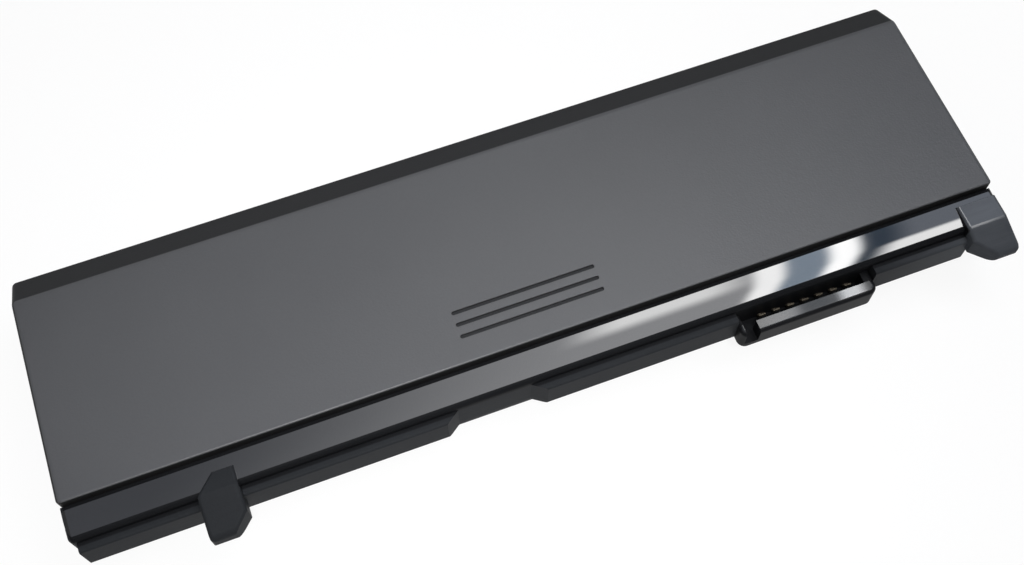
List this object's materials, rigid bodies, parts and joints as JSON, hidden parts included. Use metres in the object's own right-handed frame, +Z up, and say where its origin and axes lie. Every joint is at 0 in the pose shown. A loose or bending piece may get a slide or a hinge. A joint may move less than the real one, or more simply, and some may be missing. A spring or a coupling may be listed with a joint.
{
  "type": "laptop battery",
  "caption": "Flat slab battery pack for a laptop: charcoal face, reveal groove, stepped glossy black front edge with guide rail, hook and lug, and an edge connector.",
  "frame": {"origin": "centre of the flat underside of the slab, at the middle of its length and of the housing's depth", "axes": "+X along the length to the right when the connector edge is towards the viewer, +Y to the plain rear edge, +Z up through the charcoal face"},
  "size_m": [0.207, 0.0695, 0.021],
  "materials": {
    "cover_charcoal": "fine moulded grain, matt",
    "case_black": "moulded, glossy",
    "connector_black": "moulded, satin",
    "contact_metal": "thin bright plating",
    "board_green": "lacquered glass-fibre board",
    "sheet_amber": "thin insulating film",
    "chip_black": "moulded, matt",
    "resistor_dark": "glassy top on a ceramic body",
    "fuse_white": "plain ceramic",
    "capacitor_tan": "plain ceramic",
    "cell_sleeve": "shrunk sleeve over a steel can",
    "ring_card": "thin pressed card",
    "nickel_strip": "rolled strip, bright",
    "end_paper": "insulating paper",
    "foam_grey": "closed-cell foam",
    "lead_black": "wire insulation",
    "sense_yellow": "wire insulation",
    "bead_epoxy": "dipped resin bead"
  },
  "bodies": {
    "root": {"top_cover": "cover_charcoal", "bottom_case": "case_black", "connector_housing": "connector_black", "connector_contacts": "contact_metal", "circuit_board": "board_green", "board_sheet": "sheet_amber", "gauge_chip": "chip_black", "protection_chip": "chip_black", "charge_transistor": "chip_black", "discharge_transistor": "chip_black", "sense_resistor": "resistor_dark", "chip_fuse": "fuse_white", "capacitors": "capacitor_tan", "insulator_rings": "ring_card", "negative_plate": "nickel_strip", "left_link_plate": "nickel_strip", "right_link_plate": "nickel_strip", "positive_plate": "nickel_strip", "left_end_sheet": "end_paper", "right_end_sheet": "end_paper", "left_foam_pad": "foam_grey", "right_foam_pad": "foam_grey", "negative_lead": "lead_black", "sense_wire": "sense_yellow", "temperature_sensor": "bead_epoxy", "cell_rear_left": "cell_sleeve", "cell_rear_middle": "cell_sleeve", "cell_rear_right": "cell_sleeve", "cell_centre_left": "cell_sleeve", "cell_centre_middle": "cell_sleeve", "cell_centre_right": "cell_sleeve", "cell_front_left": "cell_sleeve", "cell_front_middle": "cell_sleeve", "cell_front_right": "cell_sleeve"}
  },
  "joints": []
}
